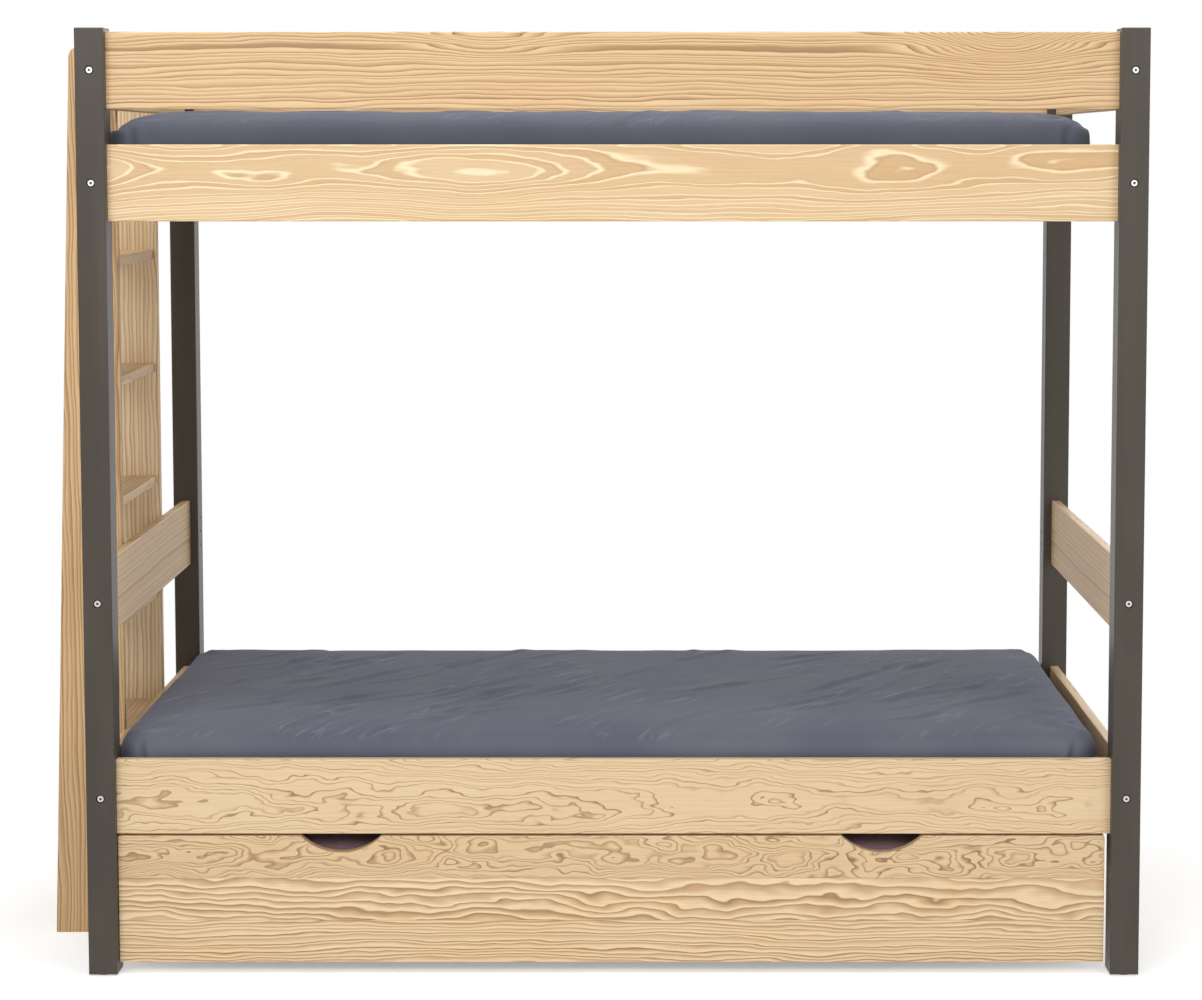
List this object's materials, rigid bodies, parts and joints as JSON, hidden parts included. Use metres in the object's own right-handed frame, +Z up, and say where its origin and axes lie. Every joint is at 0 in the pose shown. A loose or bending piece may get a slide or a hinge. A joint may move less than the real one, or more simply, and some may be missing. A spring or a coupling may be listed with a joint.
{
  "type": "bunk bed with trundle",
  "caption": "Pine bunk bed with painted posts, guards round the upper bed, a fixed end ladder and a trundle bed that rolls out in front.",
  "frame": {"origin": "on the floor, in the middle of the space that the bed and its ladder take", "axes": "+X along the bed towards the end without the ladder, +Y from the front to the back, +Z up"},
  "size_m": [2.2184, 0.982, 1.875],
  "materials": {
    "pine": "satin",
    "beech_dowel": "matte",
    "dark_paint": "satin",
    "bright_steel": "satin",
    "glide_plastic": "matte",
    "wheel_plastic": "satin",
    "webbing": "matte",
    "sheet": "matte"
  },
  "bodies": {
    "bed_frame": {"post_front_left": "dark_paint", "post_front_right": "dark_paint", "post_back_left": "dark_paint", "post_back_right": "dark_paint", "upper_guard_front": "pine", "upper_guard_back": "pine", "upper_rail_front": "pine", "upper_rail_back": "pine", "lower_rail_front": "pine", "lower_rail_back": "pine", "upper_guard_left": "pine", "upper_guard_right": "pine", "upper_rail_left": "pine", "upper_rail_right": "pine", "lower_rail_left": "pine", "lower_rail_right": "pine", "lower_guard_left": "pine", "lower_guard_right": "pine", "upper_cleat_front": "pine", "upper_cleat_back": "pine", "lower_cleat_front": "pine", "lower_cleat_back": "pine", "upper_slats": "pine", "lower_slats": "pine", "ladder_stile_front": "pine", "ladder_stile_back": "pine", "ladder_tread_1": "pine", "ladder_tread_2": "pine", "ladder_tread_3": "pine", "ladder_tread_4": "pine", "ladder_tread_5": "pine", "ladder_tread_6": "pine", "frame_dowels": "beech_dowel", "ladder_dowels": "beech_dowel", "slat_straps": "webbing", "upper_mattress": "sheet", "lower_mattress": "sheet", "side_board_bolts": "bright_steel", "end_board_bolts": "bright_steel", "barrel_nuts": "bright_steel", "slat_frame_screws": "bright_steel", "ladder_screws": "bright_steel", "glides": "glide_plastic"},
    "trundle": {"trundle_front_panel": "pine", "trundle_back_panel": "pine", "trundle_side_left": "pine", "trundle_side_right": "pine", "trundle_cleats": "pine", "trundle_slats": "pine", "trundle_mattress": "sheet", "trundle_dowels": "beech_dowel", "trundle_screws": "bright_steel", "caster_blocks": "pine", "caster_brackets": "bright_steel", "caster_axles": "bright_steel", "caster_screws": "bright_steel"},
    "wheel_front_left": {"caster_wheel_front_left": "wheel_plastic"},
    "wheel_front_right": {"caster_wheel_front_right": "wheel_plastic"},
    "wheel_back_left": {"caster_wheel_back_left": "wheel_plastic"},
    "wheel_back_right": {"caster_wheel_back_right": "wheel_plastic"}
  },
  "joints": [
    {"name": "trundle_slide", "type": "slide", "parent": "bed_frame", "child": "trundle", "axis": [0, -1, 0], "range_m": [0, 0.9]},
    {"name": "wheel_front_left_spin", "type": "hinge", "parent": "trundle", "child": "wheel_front_left", "pos_m": [-0.87845, -0.3575, 0.025], "axis": [1, 0, 0], "continuous": true},
    {"name": "wheel_front_right_spin", "type": "hinge", "parent": "trundle", "child": "wheel_front_right", "pos_m": [1.00055, -0.3575, 0.025], "axis": [1, 0, 0], "continuous": true},
    {"name": "wheel_back_left_spin", "type": "hinge", "parent": "trundle", "child": "wheel_back_left", "pos_m": [-0.87845, 0.355, 0.025], "axis": [1, 0, 0], "continuous": true},
    {"name": "wheel_back_right_spin", "type": "hinge", "parent": "trundle", "child": "wheel_back_right", "pos_m": [1.00055, 0.355, 0.025], "axis": [1, 0, 0], "continuous": true}
  ],
  "couplings": [
    {"joint": "wheel_front_left_spin", "follows": "trundle_slide", "rad_per_m": 40},
    {"joint": "wheel_front_right_spin", "follows": "trundle_slide", "rad_per_m": 40},
    {"joint": "wheel_back_left_spin", "follows": "trundle_slide", "rad_per_m": 40},
    {"joint": "wheel_back_right_spin", "follows": "trundle_slide", "rad_per_m": 40}
  ]
}
